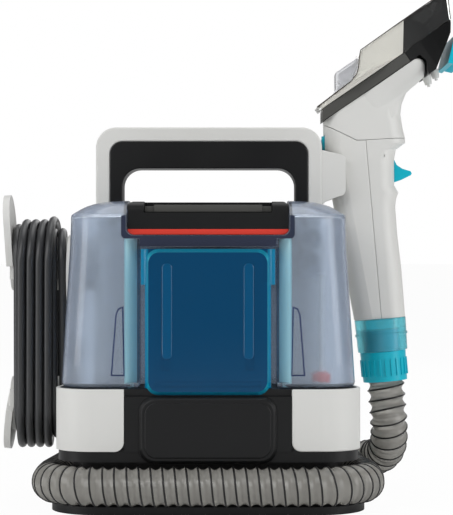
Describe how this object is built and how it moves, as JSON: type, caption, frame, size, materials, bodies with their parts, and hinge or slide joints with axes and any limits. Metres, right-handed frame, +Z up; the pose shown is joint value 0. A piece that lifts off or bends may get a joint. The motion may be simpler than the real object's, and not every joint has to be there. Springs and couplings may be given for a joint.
{
  "type": "spot extractor",
  "caption": "Portable spot extractor with clear recovery tank, lift-off solution tank, carry handle, ribbed hose stored round its base, docked hand tool and cord hooks.",
  "frame": {"origin": "centre of the base plate's flat underside, on the floor", "axes": "+Z up, -Y to the front with the tank face and front panel, +X to the side with the hand tool"},
  "size_m": [0.4121, 0.2486, 0.4445],
  "materials": {
    "moulded_black": "satin moulded",
    "moulded_grey": "satin moulded",
    "moulded_white": "semi-gloss moulded",
    "teal_plastic": "gloss moulded",
    "smoke_tank": "clear moulded, tinted",
    "teal_tank": "clear moulded, deep tint",
    "teal_clear": "clear moulded, tinted",
    "clear_plastic": "clear moulded",
    "red_plastic": "gloss moulded",
    "steel": "turned",
    "rubber_black": "matt",
    "hose_film": "ribbed film over wire",
    "cord_jacket": "satin jacket"
  },
  "bodies": {
    "machine": {"base_plate": "moulded_black", "foot_pads": "rubber_black", "lower_housing": "moulded_black", "left_side_panel": "moulded_white", "right_side_panel": "moulded_white", "front_panel": "moulded_black", "rear_housing": "moulded_white", "rear_grille": "moulded_grey", "motor_casing": "moulded_grey", "motor_bearings": "steel", "pump": "moulded_grey", "pump_tube": "moulded_white", "hose_port": "moulded_grey", "handle_shell": "moulded_white", "handle_grip": "moulded_black", "tool_dock": "moulded_white", "upper_cord_hook": "moulded_white", "lower_cord_hook": "moulded_white", "cord_gland": "moulded_grey", "power_cord": "cord_jacket", "plug": "cord_jacket", "button_spring": "steel", "duct_ports": "moulded_grey", "port_seals": "rubber_black", "base_screws": "steel", "valve_cup": "moulded_grey", "suction_hose": "hose_film", "swivel_collar": "teal_clear", "grip_shell": "moulded_white", "grip_backstrap": "moulded_white", "tool_neck": "moulded_white", "trigger_pin": "steel", "trigger_spring": "steel"},
    "recovery_tank": {"recovery_tank": "smoke_tank", "tank_bridge": "smoke_tank", "tank_neck": "smoke_tank", "separator": "smoke_tank", "float_rod": "moulded_white", "lid_pins": "steel"},
    "float": {"float": "red_plastic"},
    "tank_lid": {"tank_lid": "moulded_black", "lid_stripe": "red_plastic", "lid_seal": "rubber_black"},
    "latch_bar": {"latch_bar": "moulded_grey"},
    "solution_tank": {"solution_tank": "teal_tank"},
    "filler_cap": {"filler_cap": "moulded_black"},
    "valve_stem": {"valve_stem": "moulded_white"},
    "power_button": {"power_button": "teal_plastic"},
    "trigger": {"trigger": "teal_plastic"},
    "release_button": {"release_button": "teal_plastic"},
    "nozzle": {"nozzle_base": "moulded_black", "nozzle_cover": "clear_plastic", "seal_strip": "moulded_grey", "nozzle_duct": "clear_plastic", "brush_block": "teal_plastic", "bristles": "teal_plastic", "spray_tip": "moulded_white"},
    "hose_cuff": {"hose_cuff": "teal_plastic"},
    "fan": {"fan_rotor": "steel", "motor_shaft": "steel"}
  },
  "joints": [
    {"name": "recovery_tank_lift", "type": "slide", "parent": "machine", "child": "recovery_tank", "axis": [0, 0, 1], "range_m": [0, 0.18]},
    {"name": "float_rise", "type": "slide", "parent": "recovery_tank", "child": "float", "axis": [0, 0, 1], "range_m": [0, 0.078]},
    {"name": "lid_hinge", "type": "hinge", "parent": "recovery_tank", "child": "tank_lid", "pos_m": [0, -0.01, 0.2556], "axis": [-1, 0, 0], "range_deg": [0, 88]},
    {"name": "latch_hinge", "type": "hinge", "parent": "tank_lid", "child": "latch_bar", "pos_m": [0, -0.062, 0.2546], "axis": [-1, 0, 0], "range_deg": [0, 20], "stiffness_Nm_per_rad": 0.06, "springref_deg": -17.19},
    {"name": "solution_tank_slide", "type": "slide", "parent": "machine", "child": "solution_tank", "axis": [0, -1, 0], "range_m": [0, 0.1]},
    {"name": "filler_cap_turn", "type": "hinge", "parent": "solution_tank", "child": "filler_cap", "pos_m": [0.008, -0.0436, 0.187], "axis": [0, 1, 0], "continuous": true},
    {"name": "valve_lift", "type": "slide", "parent": "solution_tank", "child": "valve_stem", "axis": [0, 0, 1], "range_m": [0, 0.003]},
    {"name": "power_button_press", "type": "slide", "parent": "machine", "child": "power_button", "axis": [0, 0, -1], "range_m": [0, 0.002], "stiffness_N_per_m": 600, "springref_m": -0.001},
    {"name": "trigger_hinge", "type": "hinge", "parent": "machine", "child": "trigger", "pos_m": [0.15491, 0.034, 0.30457], "axis": [0, 1, 0], "range_deg": [0, 12], "stiffness_Nm_per_rad": 0.5, "springref_deg": -5.73},
    {"name": "release_button_press", "type": "slide", "parent": "machine", "child": "release_button", "axis": [0.9962, 0, 0.0872], "range_m": [0, 0.002], "stiffness_N_per_m": 500, "springref_m": -0.001},
    {"name": "nozzle_slide", "type": "slide", "parent": "machine", "child": "nozzle", "axis": [0.829, 0, 0.5592], "range_m": [0, 0.06]},
    {"name": "cuff_swivel", "type": "hinge", "parent": "machine", "child": "hose_cuff", "pos_m": [0.15709, 0.034, 0.11905], "axis": [-0.0872, 0, 0.9962], "continuous": true},
    {"name": "fan_spin", "type": "hinge", "parent": "machine", "child": "fan", "pos_m": [0, 0.047, 0.15], "axis": [0, 0, 1], "continuous": true}
  ]
}
